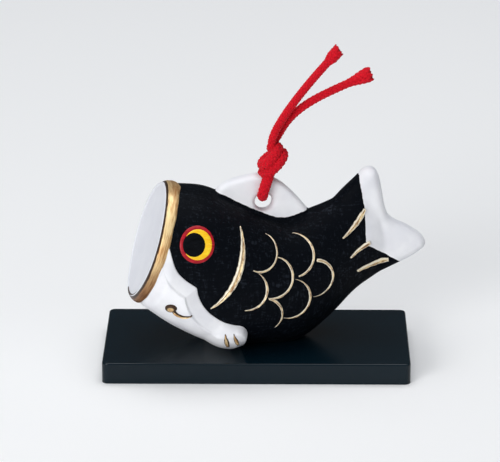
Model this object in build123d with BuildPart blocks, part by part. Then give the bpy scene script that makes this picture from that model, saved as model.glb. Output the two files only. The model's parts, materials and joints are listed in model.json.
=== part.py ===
from build123d import *
from math import cos, pi, radians, sin, tan
import os

# A clay bell in the shape of a carp streamer, on its lacquered board. Millimetres, +Z up.
# The origin is the centre of the board's underside. The carp's mouth points to -X.

# ---- driving dimensions -------------------------------------------------------------------

BOARD_LENGTH = 120.0
BOARD_DEPTH = 60.0
BOARD_THICKNESS = 8.4
BOARD_CORNER_RADIUS = 2.5
BOARD_EDGE_RADIUS = 0.7

CARP_YAW = 7.5  # degrees: the mouth is turned this far towards -Y
WALL = 3.4  # slip-cast wall of the bell
RIM_LIP = 1.0  # thickness of the rim round the mouth face
MOUTH_FACE_THICKNESS = 3.2
MOUTH_FACE_RECESS = 0.8
MOUTH_DISH_RADIUS = 220.0
MOUTH_DISH_DEPTH = 1.2
FIN_THICKNESS = 6.8
FIN_EDGE_RADIUS = 2.0
FIN_HOLE_RADIUS = 3.5
TAIL_THICKNESS = 10.0
TAIL_EDGE_RADIUS = 3.4
SLOT_WIDTH = 6.0
SLOT_LENGTH = 18.0
SLOT_CENTRE = -6.0  # along the carp

BAND_WIDTH = 4.2
JAW_HEIGHT = 1.6  # each height is how far the raised work stands above what it lies on
LINE_HEIGHT = 0.7
EYE_HEIGHT = 0.4
PUPIL_HEIGHT = 0.6
LINE_WIDTH = 1.1
GILL_WIDTH = 2.0
RAY_WIDTH = 1.9
REACH = 45.0  # half the length of a cutter that passes through both flanks

PELLET_RADIUS = 5.5
PELLET_CENTRE = (6.0, 8.4)  # along the carp, and above the board

CORD_DIAMETER = 3.6
KNOT_CENTRE = (6.0, 74.0)
KNOT_RADIUS = 6.0
KNOT_HEIGHT = 10.6
KNOT_EDGE_RADIUS = 4.2

# The carp's sections, from the mouth to the tail: the top and bottom point of each in the carp's
# middle plane, as (along, up) from the centre of the board's top, and the half width.
SECTIONS = [
    ((-36.0, 64.6), (-49.4, 20.2), 23.2),
    ((-30.5, 63.9), (-44.2, 16.2), 24.2),
    ((-19.5, 62.3), (-32.5, 7.8), 25.0),
    ((-7.5, 56.4), (-16.7, 0.2), 24.6),
    ((3.0, 51.0), (0.0, -1.2), 22.8),
    ((12.5, 48.9), (15.5, -0.6), 20.0),
    ((21.5, 52.8), (28.0, 7.8), 15.8),
    ((31.0, 59.2), (38.5, 18.2), 11.4),
    ((38.5, 62.6), (47.0, 25.2), 8.6),
    ((44.0, 62.5), (53.0, 29.0), 5.6),
]
# The tail's two lobes, from its root over the upper tip, the fork and the lower tip to the root.
TAIL_OUTLINE = [
    (38.0, 58.0),
    (39.6, 64.6),
    (45.6, 71.2),
    (50.4, 49.6),
    (70.0, 37.6),
    (63.0, 28.4),
    (48.0, 27.5),
]
TAIL_CORNER_RADII = [2.0, 2.6, 5.0, 3.0, 5.0]
# The fin's free edge, from its front end to its rear end.
FIN_EDGE = [
    (-18.0, 58.5),
    (-14.0, 64.0),
    (-6.0, 66.9),
    (2.0, 67.6),
    (9.5, 64.0),
    (16.0, 57.6),
    (22.0, 50.0),
]
FIN_HOLE_CENTRE = (2.4, 56.8)
HOLLOW_SECTIONS = 7  # the hollow ends at this section, short of the tail

# ---- planes -------------------------------------------------------------------------------

along = Vector(cos(radians(CARP_YAW)), sin(radians(CARP_YAW)), 0)
near = Vector(sin(radians(CARP_YAW)), -cos(radians(CARP_YAW)), 0)
# The carp's middle plane: local x runs along the carp, local y is up, local z is towards -Y.
flank = Plane(origin=(0, 0, BOARD_THICKNESS), x_dir=along, z_dir=near)
carp_floor = Plane(origin=(0, 0, BOARD_THICKNESS), x_dir=along, z_dir=(0, 0, 1))


def carp_point(s, z, side=0.0):
    """A point given along the carp, above the board and towards the near side."""
    return flank.from_local_coords(Vector(s, z, side))


def section_plane(top, bottom):
    """The plane of one section: local y is up the section, and local z points to the tail."""
    centre = (carp_point(*top) + carp_point(*bottom)) / 2
    up = carp_point(*top) - carp_point(*bottom)
    return Plane(origin=centre, x_dir=-near, z_dir=up.cross(near))


def half_height(top, bottom):
    return (carp_point(*top) - carp_point(*bottom)).length / 2


def carp_loft(sections, grow):
    """A loft through the sections, each grown all round by one amount, or shrunk if it is negative."""
    with BuildPart() as body:
        for top, bottom, half_width in sections:
            with BuildSketch(section_plane(top, bottom)):
                Ellipse(half_width + grow, half_height(top, bottom) + grow)
        loft()
    return body.part


mouth_top, mouth_bottom, MOUTH_HALF_WIDTH = SECTIONS[0]
MOUTH_HALF_HEIGHT = half_height(mouth_top, mouth_bottom)
mouth_plane = section_plane(mouth_top, mouth_bottom)


def above_board(height=0.0):
    """A block that holds everything from a height above the board upwards."""
    with BuildPart() as block:
        with BuildSketch(carp_floor.offset(height)):
            Rectangle(4 * REACH, 4 * REACH)
        extrude(amount=4 * REACH)
    return block.part


# ---- board --------------------------------------------------------------------------------

with BuildPart() as board:
    with BuildSketch(Plane.XY):
        RectangleRounded(BOARD_LENGTH, BOARD_DEPTH, BOARD_CORNER_RADIUS)
    extrude(amount=BOARD_THICKNESS)
    fillet(board.faces().sort_by(Axis.Z)[-1].edges(), BOARD_EDGE_RADIUS)
board.part.label = "board"

# ---- bell shell ---------------------------------------------------------------------------

carp_outside = carp_loft(SECTIONS, 0.0)
carp_inside = carp_loft(SECTIONS[:HOLLOW_SECTIONS], -WALL)

with BuildPart() as fin_blade:
    with BuildSketch(flank):
        with BuildLine():
            Spline(*FIN_EDGE)
            Polyline(FIN_EDGE[-1], (16.0, 44.0), (-10.0, 46.0), FIN_EDGE[0])
        make_face()
        with Locations(FIN_HOLE_CENTRE):
            Circle(FIN_HOLE_RADIUS, mode=Mode.SUBTRACT)
    extrude(amount=FIN_THICKNESS / 2, both=True)
    fillet(fin_blade.faces().filter_by(Axis((0, 0, 0), near)).edges(), FIN_EDGE_RADIUS)

with BuildPart() as tail_blade:
    with BuildSketch(flank):
        with BuildLine():
            FilletPolyline(*TAIL_OUTLINE, radius=TAIL_CORNER_RADII)
            Line(TAIL_OUTLINE[-1], TAIL_OUTLINE[0])
        make_face()
    extrude(amount=TAIL_THICKNESS / 2, both=True)
    fillet(tail_blade.faces().filter_by(Axis((0, 0, 0), near)).edges(), TAIL_EDGE_RADIUS)

# The solid carp, without its hollow: everything that is laid on the bell starts from this surface.
with BuildPart() as carp_solid:
    add(carp_outside)
    add(tail_blade.part)
    add(fin_blade.part)

with BuildPart() as bell_shell:
    add(carp_solid.part)
    add(carp_inside, mode=Mode.SUBTRACT)
    with BuildSketch(mouth_plane):
        Ellipse(MOUTH_HALF_WIDTH - RIM_LIP, MOUTH_HALF_HEIGHT - RIM_LIP)
    extrude(amount=MOUTH_FACE_RECESS + MOUTH_FACE_THICKNESS, mode=Mode.SUBTRACT)
    with BuildSketch(carp_floor):
        with Locations((SLOT_CENTRE, 0)):
            SlotOverall(SLOT_LENGTH, SLOT_WIDTH)
    extrude(amount=3 * WALL, both=True, mode=Mode.SUBTRACT)
    add(above_board(), mode=Mode.INTERSECT)
bell_shell.part.label = "bell_shell"

with BuildPart() as mouth_face:
    with BuildSketch(mouth_plane.offset(MOUTH_FACE_RECESS)):
        Ellipse(MOUTH_HALF_WIDTH - RIM_LIP, MOUTH_HALF_HEIGHT - RIM_LIP)
    extrude(amount=MOUTH_FACE_THICKNESS)
    with Locations(mouth_plane.offset(MOUTH_FACE_RECESS + MOUTH_DISH_DEPTH - MOUTH_DISH_RADIUS)):
        Sphere(MOUTH_DISH_RADIUS, mode=Mode.SUBTRACT)
mouth_face.part.label = "mouth_face"

# ---- raised work --------------------------------------------------------------------------
# Each raised piece is a layer of even height over the surface below it, cut to an outline that
# passes through the carp from side to side, so that both flanks get the same work.

carp_with_lines = carp_loft(SECTIONS, LINE_HEIGHT)
carp_with_jaw = carp_loft(SECTIONS, JAW_HEIGHT)
carp_with_jaw_lines = carp_loft(SECTIONS, JAW_HEIGHT + LINE_HEIGHT)
carp_with_eyes = carp_loft(SECTIONS, EYE_HEIGHT)
carp_with_pupils = carp_loft(SECTIONS, PUPIL_HEIGHT)

with BuildPart() as mouth_band:
    with BuildSketch(mouth_plane):
        Rectangle(4 * REACH, 4 * REACH)
    extrude(amount=BAND_WIDTH)
    add(carp_with_lines, mode=Mode.INTERSECT)
    add(carp_solid.part, mode=Mode.SUBTRACT)
mouth_band.part.label = "mouth_band"

with BuildPart() as jaw_relief:
    with BuildSketch(flank):
        with BuildLine():
            Line((-37.4, 48.0), (-36.6, 46.3))
            ThreePointArc((-36.6, 46.3), (-32.9, 36.1), (-26.4, 30.6))
            ThreePointArc((-26.4, 30.6), (-23.1, 21.4), (-16.2, 15.1))
            ThreePointArc((-16.2, 15.1), (-11.0, 12.9), (-8.0, 12.2))
            ThreePointArc((-8.0, 12.2), (-5.9, 8.4), (-7.0, 2.0))
            Polyline((-7.0, 2.0), (-8.5, -6.0), (-60.0, -6.0), (-60.0, 48.0), (-37.4, 48.0))
        make_face()
    extrude(amount=REACH, both=True)
    add(carp_with_jaw, mode=Mode.INTERSECT)
    with BuildSketch(mouth_plane.offset(BAND_WIDTH)):
        Rectangle(4 * REACH, 4 * REACH)
    extrude(amount=-4 * REACH, mode=Mode.SUBTRACT)
    add(carp_solid.part, mode=Mode.SUBTRACT)
    add(above_board(0.2), mode=Mode.INTERSECT)
jaw_relief.part.label = "jaw_relief"

EYE_CENTRE = (-25.9, 47.4)
PUPIL_CENTRE = (-27.2, 47.6)
EYE_RADIUS = 7.0
IRIS_RADIUS = 5.7
PUPIL_RADIUS = 4.3

with BuildPart() as eye_rings:
    with BuildSketch(flank):
        with Locations(EYE_CENTRE):
            Circle(EYE_RADIUS)
            Circle(IRIS_RADIUS, mode=Mode.SUBTRACT)
    extrude(amount=REACH, both=True)
    add(carp_with_eyes, mode=Mode.INTERSECT)
    add(carp_solid.part, mode=Mode.SUBTRACT)
eye_rings.part.label = "eye_rings"

with BuildPart() as eye_irises:
    with BuildSketch(flank):
        with Locations(EYE_CENTRE):
            Circle(IRIS_RADIUS)
        with Locations(PUPIL_CENTRE):
            Circle(PUPIL_RADIUS, mode=Mode.SUBTRACT)
    extrude(amount=REACH, both=True)
    add(carp_with_eyes, mode=Mode.INTERSECT)
    add(carp_solid.part, mode=Mode.SUBTRACT)
eye_irises.part.label = "eye_irises"

with BuildPart() as eye_pupils:
    with BuildSketch(flank):
        with Locations(PUPIL_CENTRE):
            Circle(PUPIL_RADIUS)
    extrude(amount=REACH, both=True)
    add(carp_with_pupils, mode=Mode.INTERSECT)
    add(carp_solid.part, mode=Mode.SUBTRACT)
eye_pupils.part.label = "eye_pupils"


def raised_lines(arcs, width, outside, below):
    """Raised lines on both flanks. Each arc is the start, a point on the way, and the end."""
    with BuildPart() as lines:
        for start, way, end in arcs:
            with BuildSketch(flank):
                with BuildLine():
                    ThreePointArc(start, way, end)
                trace(line_width=width)
            extrude(amount=REACH, both=True)
        add(outside, mode=Mode.INTERSECT)
        for part in below:
            add(part, mode=Mode.SUBTRACT)
    return lines.part


GILL_ARC = [((-8.4, 51.6), (-9.2, 37.5), (-21.0, 21.5))]
SCALE_ARCS = [
    ((1.7, 47.5), (5.6, 40.2), (-4.2, 36.0)),
    ((12.7, 46.1), (20.4, 38.5), (13.9, 31.5)),
    ((5.9, 39.4), (11.6, 31.5), (1.6, 24.4)),
    ((21.4, 36.6), (28.1, 28.8), (19.9, 22.3)),
    ((-2.1, 34.6), (0.9, 25.8), (-7.7, 20.0)),
    ((12.6, 30.6), (18.2, 20.0), (7.9, 15.1)),
    ((1.8, 24.2), (7.2, 18.5), (4.6, 10.8)),
]
TAIL_ARCS = [
    ((42.6, 51.0), (37.3, 47.9), (32.3, 43.5)),
    ((43.6, 40.4), (39.2, 38.3), (35.4, 35.3)),
    ((50.5, 30.9), (44.5, 30.6), (38.3, 29.1)),
]
WHISKER_ARC = [((-35.2, 20.4), (-32.4, 18.4), (-28.8, 19.0))]
FIN_MARK_ARCS = [
    ((-15.0, 9.5), (-14.5, 6.0), (-13.6, 3.0)),
    ((-11.8, 9.7), (-11.0, 7.0), (-9.9, 4.4)),
]

gill_lines = raised_lines(GILL_ARC, GILL_WIDTH, carp_with_lines, [carp_solid.part])
gill_lines.label = "gill_lines"

scale_lines = raised_lines(SCALE_ARCS, LINE_WIDTH, carp_with_lines, [carp_solid.part])
scale_lines.label = "scale_lines"

tail_rays = raised_lines(TAIL_ARCS, RAY_WIDTH, carp_with_lines, [carp_solid.part])
tail_rays.label = "tail_rays"

fin_marks = raised_lines(
    FIN_MARK_ARCS, GILL_WIDTH, carp_with_jaw_lines, [carp_solid.part, jaw_relief.part]
)
fin_marks.label = "fin_marks"

BARBEL_DROP_RADIUS = 2.0

with BuildPart() as barbels:
    with BuildSketch(flank):
        with Locations((-36.2, 21.9)):
            Circle(BARBEL_DROP_RADIUS)
        with BuildLine():
            ThreePointArc(*WHISKER_ARC[0])
        trace(line_width=LINE_WIDTH)
    extrude(amount=REACH, both=True)
    add(carp_with_jaw_lines, mode=Mode.INTERSECT)
    add(carp_solid.part, mode=Mode.SUBTRACT)
    add(jaw_relief.part, mode=Mode.SUBTRACT)
barbels.part.label = "barbels"

# ---- pellet -------------------------------------------------------------------------------

with BuildPart() as rattle_pellet:
    with Locations(carp_point(*PELLET_CENTRE)):
        Sphere(PELLET_RADIUS)
rattle_pellet.part.label = "rattle_pellet"

# ---- cord ---------------------------------------------------------------------------------
# One cord, in four pieces: the loop through the fin, the knot above it and the two free tails.
# Each point is along the carp, above the board, and towards the near side.

LOOP_ROUTE = [
    (5.0, 71.6, 2.8),
    (3.9, 66.2, 5.6),
    (2.5, 57.9, 5.6),
    (2.5, 57.9, -5.6),
    (3.9, 66.2, -5.6),
    (5.0, 71.6, -2.8),
]
UPPER_ROUTE = [
    (4.9, 75.5, 1.4),
    (5.6, 82.5, 1.4),
    (9.5, 90.0, 1.3),
    (16.2, 99.2, 0.9),
    (24.2, 108.6, 0.4),
    (31.7, 116.6, -0.2),
]
LOWER_ROUTE = [
    (7.2, 75.3, -1.6),
    (8.2, 81.8, -1.6),
    (12.3, 89.2, -1.6),
    (20.0, 95.6, -1.4),
    (32.0, 101.5, -1.0),
    (44.0, 106.5, -0.5),
]
ARC_SHARE = 0.45  # the part of the shorter run beside a point that its arc takes up


def cord_tube(name, route):
    """A round cord along straight runs joined by tangent arcs."""
    points = [carp_point(*place) for place in route]
    radii = []
    for before, here, after in zip(points, points[1:], points[2:]):
        turn = (here - before).get_angle(after - here)
        shorter = min((here - before).length, (after - here).length)
        radii.append(ARC_SHARE * shorter / tan(radians(turn / 2)))
    with BuildPart() as tube:
        with BuildLine():
            path = FilletPolyline(*points, radius=radii)
        with BuildSketch(Plane(origin=path @ 0, z_dir=path % 0)):
            Circle(CORD_DIAMETER / 2)
        sweep()
    swept = pi * CORD_DIAMETER**2 / 4 * path.length
    print(name, "length", round(path.length, 1), "radii", [round(r, 1) for r in radii])
    print(name, "volume over section times length", round(tube.part.volume / swept, 4))
    tube.part.label = name
    return tube.part


cord_loop = cord_tube("cord_loop", LOOP_ROUTE)
cord_tail_upper = cord_tube("cord_tail_upper", UPPER_ROUTE)
cord_tail_lower = cord_tube("cord_tail_lower", LOWER_ROUTE)

with BuildPart() as cord_knot:
    with Locations(carp_point(*KNOT_CENTRE)):
        Cylinder(KNOT_RADIUS, KNOT_HEIGHT)
    fillet(cord_knot.edges().filter_by(GeomType.CIRCLE), KNOT_EDGE_RADIUS)
cord_knot.part.label = "cord_knot"

# ---- files --------------------------------------------------------------------------------

os.makedirs("parts", exist_ok=True)
for piece in (
    board.part,
    bell_shell.part,
    mouth_face.part,
    mouth_band.part,
    jaw_relief.part,
    eye_rings.part,
    eye_irises.part,
    eye_pupils.part,
    gill_lines,
    scale_lines,
    tail_rays,
    barbels.part,
    fin_marks,
    rattle_pellet.part,
    cord_loop,
    cord_knot.part,
    cord_tail_upper,
    cord_tail_lower,
):
    export_step(piece, f"parts/{piece.label}.step")
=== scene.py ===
import json
import math

import bmesh
import bpy
import numpy as np
from mathutils import Euler, Matrix, Vector
from mathutils.bvhtree import BVHTree
from mathutils.geometry import delaunay_2d_cdt


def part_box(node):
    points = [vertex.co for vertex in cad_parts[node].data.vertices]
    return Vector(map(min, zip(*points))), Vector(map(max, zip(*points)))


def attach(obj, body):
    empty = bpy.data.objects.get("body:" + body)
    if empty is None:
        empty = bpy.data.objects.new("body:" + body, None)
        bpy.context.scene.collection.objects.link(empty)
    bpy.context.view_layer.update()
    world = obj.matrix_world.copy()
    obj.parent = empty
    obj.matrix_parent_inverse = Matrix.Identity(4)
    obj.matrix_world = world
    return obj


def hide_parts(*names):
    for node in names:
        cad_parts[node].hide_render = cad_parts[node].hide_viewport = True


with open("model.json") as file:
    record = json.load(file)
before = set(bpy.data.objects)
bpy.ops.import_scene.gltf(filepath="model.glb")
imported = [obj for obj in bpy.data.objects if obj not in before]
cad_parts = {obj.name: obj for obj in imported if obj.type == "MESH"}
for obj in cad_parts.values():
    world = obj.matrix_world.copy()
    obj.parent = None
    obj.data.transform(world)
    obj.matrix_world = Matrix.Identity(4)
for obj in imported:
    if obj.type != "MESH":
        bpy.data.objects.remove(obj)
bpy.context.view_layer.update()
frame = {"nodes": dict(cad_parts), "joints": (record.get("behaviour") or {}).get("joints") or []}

# A clay carp bell on its lacquered board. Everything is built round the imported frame.
# Shapes are given in the carp's own frame, in millimetres: along the carp (+ to the tail), up
# from the board's top, and out towards the near side. The mesh data is in metres.

MM = 0.001
joints = {joint["name"]: joint for joint in frame["joints"]}
ALONG = np.array(joints["pellet_roll"]["axis"])
NEAR = np.array(joints["cord_swing"]["axis"])
UP = np.array([0.0, 0.0, 1.0])
BOARD_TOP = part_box("board")[1].z

# ---- the carp's sizes

# Each section is its top point and bottom point in the middle plane, its half width, and how
# square its outline is (2 is an ellipse).
SECTIONS = [
    (-36.0, 64.6, -49.4, 20.2, 23.2, 2.0),
    (-30.5, 63.9, -44.2, 16.2, 24.2, 2.05),
    (-19.5, 62.3, -32.5, 7.8, 25.0, 2.1),
    (-7.5, 56.4, -16.7, 0.2, 24.6, 2.12),
    (3.0, 51.0, 0.0, -1.2, 22.8, 2.1),
    (12.5, 48.9, 15.5, -0.6, 20.0, 2.05),
    (21.2, 52.3, 28.0, 7.8, 15.8, 2.0),
    (30.4, 56.4, 38.5, 18.3, 11.4, 2.0),
    (38.5, 61.8, 46.6, 23.9, 8.6, 2.0),
    (44.0, 62.0, 52.6, 27.5, 5.6, 2.0),
]
# How far the rim stands ahead of the mouth's plane, from the top by the near side to the bottom
# and on by the far side.
RIM_AHEAD = [0.2, 0.1, 0.2, 1.15, 1.7, 1.5, 1.4, 0.9]
WALL = 3.4
HOLLOW_END = 6.0  # the hollow stops at this section
MOUTH_THICKNESS = 3.2
SLOT_WIDTH = 6.0
SLOT_LENGTH = 18.0
SLOT_CENTRE = -6.0
VOXEL = 0.45

FIN_EDGE = [
    (-18.0, 58.5), (-14.0, 64.0), (-6.0, 66.9), (2.0, 67.6), (9.5, 64.0), (16.0, 57.6), (22.0, 50.0),
]
FIN_ROOT = [(16.0, 44.0), (-10.0, 46.0)]
FIN_THICKNESS = 6.8
FIN_EDGE_RADIUS = 2.0
FIN_HOLE_CENTRE = (2.4, 56.8)
FIN_HOLE_RADIUS = 3.5
TAIL_EDGE = [
    (29.5, 55.3), (33.0, 59.2), (36.0, 62.1), (39.2, 65.1), (41.1, 67.4), (42.6, 68.4), (44.6, 68.8),
    (46.2, 68.3), (47.4, 66.8), (48.2, 64.2), (48.9, 61.0), (49.7, 56.4), (50.8, 51.6), (52.3, 48.6),
    (55.1, 46.4), (59.0, 44.5), (62.8, 42.1), (65.5, 39.9), (66.8, 37.5), (66.3, 35.6), (64.5, 34.0),
    (61.8, 32.2), (59.4, 30.9), (57.0, 29.8), (51.7, 27.2), (46.0, 24.6),
]
TAIL_ROOT = [(40.0, 26.0), (33.0, 34.0), (30.0, 46.0)]
TAIL_THICKNESS = 10.0
TAIL_EDGE_RADIUS = 3.8


def place(s, z, side=0.0):
    """Points in metres from places along the carp, above the board and towards the near side."""
    s, z, side = np.broadcast_arrays(np.asarray(s, float), z, side)
    flat = s[..., None] * ALONG + side[..., None] * NEAR + z[..., None] * UP
    return flat * MM + BOARD_TOP * UP


def carp_places(points):
    """The inverse of place: (along, up, side) in millimetres."""
    flat = (np.asarray(points) - BOARD_TOP * UP) / MM
    return flat @ ALONG, flat @ UP, flat @ NEAR


def through(rows, at):
    """Rows of numbers read at fractional places, along a Catmull-Rom curve through the rows."""
    rows = np.asarray(rows, float)
    rows = rows.reshape(len(rows), -1)
    padded = np.vstack([2 * rows[0] - rows[1], rows, 2 * rows[-1] - rows[-2]])
    at = np.atleast_1d(np.asarray(at, float))
    i = np.clip(np.floor(at).astype(int), 0, len(rows) - 2)
    t = (at - i)[:, None]
    a, b, c, d = (padded[i + k] for k in range(4))
    return 0.5 * (2 * b + (c - a) * t + (2 * a - 5 * b + 4 * c - d) * t**2
                  + (3 * b - a - 3 * c + d) * t**3)


def evenly_through(rows, count):
    """The same, read at so many even places from end to end."""
    return through(rows, np.linspace(0, len(rows) - 1, count))


def full_turn(count):
    return np.linspace(0, 2 * math.pi, count, endpoint=False)


def skin(u, turn, grow=0.0):
    """(along, up, side) of the carp's outside at section u. turn goes from the top, 0, by the near
    side round to the bottom, pi, and on by the far side."""
    rows = through(SECTIONS, np.ravel(u))
    top_s, top_z, low_s, low_z, half, power = rows.T.reshape(6, *np.shape(u))
    sine, cosine = np.sin(turn), np.cos(turn)
    across = np.sign(sine) * np.abs(sine) ** (2 / power)
    upward = np.sign(cosine) * np.abs(cosine) ** (2 / power)
    tall = np.hypot(top_s - low_s, top_z - low_z) / 2
    stretch = (tall + grow) / tall
    s = (top_s + low_s) / 2 + (top_s - low_s) / 2 * upward * stretch
    z = (top_z + low_z) / 2 + (top_z - low_z) / 2 * upward * stretch
    return s, z, across * (half + grow)


def eased(share):
    share = np.clip(share, 0, 1)
    return share * share * (3 - 2 * share)


def rim_ahead(turn):
    share = np.mod(turn / (2 * math.pi), 1) * len(RIM_AHEAD)
    around = RIM_AHEAD[-1:] + RIM_AHEAD + RIM_AHEAD[:2]
    return through(around, share.ravel() + 1)[:, 0].reshape(turn.shape)


# ---- mesh helpers

def linked(name, mesh):
    """A smooth-shaded object in the scene that holds the mesh."""
    obj = bpy.data.objects.new(name, mesh)
    bpy.context.scene.collection.objects.link(obj)
    mesh.shade_smooth()
    return obj


def new_object(name, points, faces):
    mesh = bpy.data.meshes.new(name)
    mesh.from_pydata([tuple(p) for p in points], [], [tuple(f) for f in faces])
    mesh.validate()
    mesh.update()
    return linked(name, mesh)


def closed_object(name, points, faces):
    """The same with its faces turned outwards, for a mesh without a gap."""
    obj = new_object(name, points, faces)
    face_outwards(obj)
    return obj


def coordinates(mesh):
    co = np.zeros(len(mesh.vertices) * 3)
    mesh.vertices.foreach_get("co", co)
    return co.reshape(-1, 3)


def settle(obj):
    """Replaces the object's mesh by what its modifiers make of it."""
    graph = bpy.context.evaluated_depsgraph_get()
    mesh = bpy.data.meshes.new_from_object(obj.evaluated_get(graph))
    obj.modifiers.clear()
    old = obj.data
    obj.data = mesh
    bpy.data.meshes.remove(old)


def dress(obj, material):
    """Gives every face the one material."""
    obj.data.materials.clear()
    obj.data.materials.append(material)
    obj.data.polygons.foreach_set("material_index", np.zeros(len(obj.data.polygons), np.int32))


def shown(obj, material, body, slot, *nodes):
    dress(obj, material)
    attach(obj, body)
    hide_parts(*nodes)


def drop(*objects):
    for obj in objects:
        mesh = obj.data
        bpy.data.objects.remove(obj)
        bpy.data.meshes.remove(mesh)


def joined(name, *objects):
    """One mesh object holding the meshes of several, which are removed."""
    work = bmesh.new()
    for obj in objects:
        work.from_mesh(obj.data)
    mesh = bpy.data.meshes.new(name)
    work.to_mesh(mesh)
    work.free()
    drop(*objects)
    return linked(name, mesh)


def carve(obj, cutter):
    """Cuts one closed mesh out of another, and removes the cutter."""
    modifier = obj.modifiers.new("carve", "BOOLEAN")
    modifier.operation = "DIFFERENCE"
    modifier.solver = "MANIFOLD"
    modifier.object = cutter
    settle(obj)
    drop(cutter)


def add_values(obj, name, values):
    """Stores a number, or three, at each of the object's points."""
    kind, field = ("FLOAT", "value") if np.ndim(values) == 1 else ("FLOAT_VECTOR", "vector")
    attribute = obj.data.attributes.new(name, kind, "POINT")
    attribute.data.foreach_set(field, np.asarray(values, np.float32).ravel())


def face_outwards(obj):
    work = bmesh.new()
    work.from_mesh(obj.data)
    bmesh.ops.recalc_face_normals(work, faces=work.faces)
    work.to_mesh(obj.data)
    work.free()


def grid_faces(rows, columns, closed_columns=False, closed_rows=False, first=0):
    """Quads over a grid of points numbered row by row."""
    faces = []
    for i in range(rows if closed_rows else rows - 1):
        for j in range(columns if closed_columns else columns - 1):
            a, b = i * columns, ((i + 1) % rows) * columns
            k = (j + 1) % columns
            faces.append((first + a + j, first + b + j, first + b + k, first + a + k))
    return faces


def shelled(faces, count):
    """A sheet's faces, the same reversed on the points numbered count later, and walls between."""
    edges = dict.fromkeys(edge for face in faces for edge in zip(face, face[1:] + face[:1]))
    walls = [(b, a, a + count, b + count) for a, b in edges if (b, a) not in edges]
    return faces + [tuple(i + count for i in reversed(face)) for face in faces] + walls


def prism(name, points):
    """A closed mesh whose points are one end's ring and then the other's."""
    count = len(points) // 2
    faces = [tuple(range(count)), tuple(range(2 * count - 1, count - 1, -1))]
    faces += [(k, (k + 1) % count, count + (k + 1) % count, count + k) for k in range(count)]
    return closed_object(name, points, faces)


def loft_object(name, stations, grow=0.0, ahead=0.0, around=160):
    """The carp's closed outside through the given sections, grown or shrunk all round. ahead
    carries the first ring forward along the carp."""
    turn = full_turn(around)
    u = np.repeat(np.asarray(stations, float)[:, None], around, axis=1)
    s, z, side = skin(u, turn[None, :] + 0 * u, grow)
    if ahead:
        out_s, out_z = mouth_normal()
        s = np.vstack([s[0] + ahead * out_s, s])
        z = np.vstack([z[0] + ahead * out_z, z])
        side = np.vstack([side[0], side])
    rows = len(s)
    points = place(s, z, side).reshape(-1, 3)
    faces = grid_faces(rows, around, closed_columns=True)
    faces.append(range(around))
    faces.append(range(rows * around - 1, (rows - 1) * around - 1, -1))
    return closed_object(name, points, faces)


def mouth_normal():
    """The way the mouth faces, as (along, up)."""
    top_s, top_z, low_s, low_z = SECTIONS[0][:4]
    tall = math.hypot(top_s - low_s, top_z - low_z)
    return -(top_z - low_z) / tall, (top_s - low_s) / tall


def on_mouth(up, ahead, side):
    """Points given from the middle of the mouth: up its slope, out ahead of it, and to the side."""
    top_s, top_z, low_s, low_z = SECTIONS[0][:4]
    out_s, out_z = mouth_normal()
    return place((top_s + low_s) / 2 + up * out_z + ahead * out_s,
                 (top_z + low_z) / 2 - up * out_s + ahead * out_z, side)


def edge_distance(points, outline):
    """How far each 2-D point is from the closed outline."""
    points, outline = np.asarray(points, float), np.asarray(outline, float)
    best = np.full(len(points), np.inf)
    for a, b in zip(outline, np.roll(outline, -1, axis=0)):
        run = b - a
        t = np.clip((points - a) @ run / max(run @ run, 1e-12), 0, 1)
        best = np.minimum(best, np.linalg.norm(points - a - t[:, None] * run, axis=1))
    return best


def inside(points, outline):
    """True for each 2-D point that lies within the closed outline."""
    points, outline = np.asarray(points, float), np.asarray(outline, float)
    hit = np.zeros(len(points), bool)
    for a, b in zip(outline, np.roll(outline, -1, axis=0)):
        crosses = (a[1] > points[:, 1]) != (b[1] > points[:, 1])
        height = b[1] - a[1] if b[1] != a[1] else 1e-12
        hit ^= crosses & (points[:, 0] < a[0] + (points[:, 1] - a[1]) * (b[0] - a[0]) / height)
    return hit


def signed_distance(points, outline):
    """Positive within the outline, negative outside it."""
    return np.where(inside(points, outline), 1, -1) * edge_distance(points, outline)


def divided(outline, step):
    """The closed outline with points no further apart than step."""
    points = []
    for a, b in zip(outline, np.roll(outline, -1, axis=0)):
        count = max(1, math.ceil(np.linalg.norm(b - a) / step))
        points += [a + (b - a) * k / count for k in range(count)]
    return np.array(points)


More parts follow.
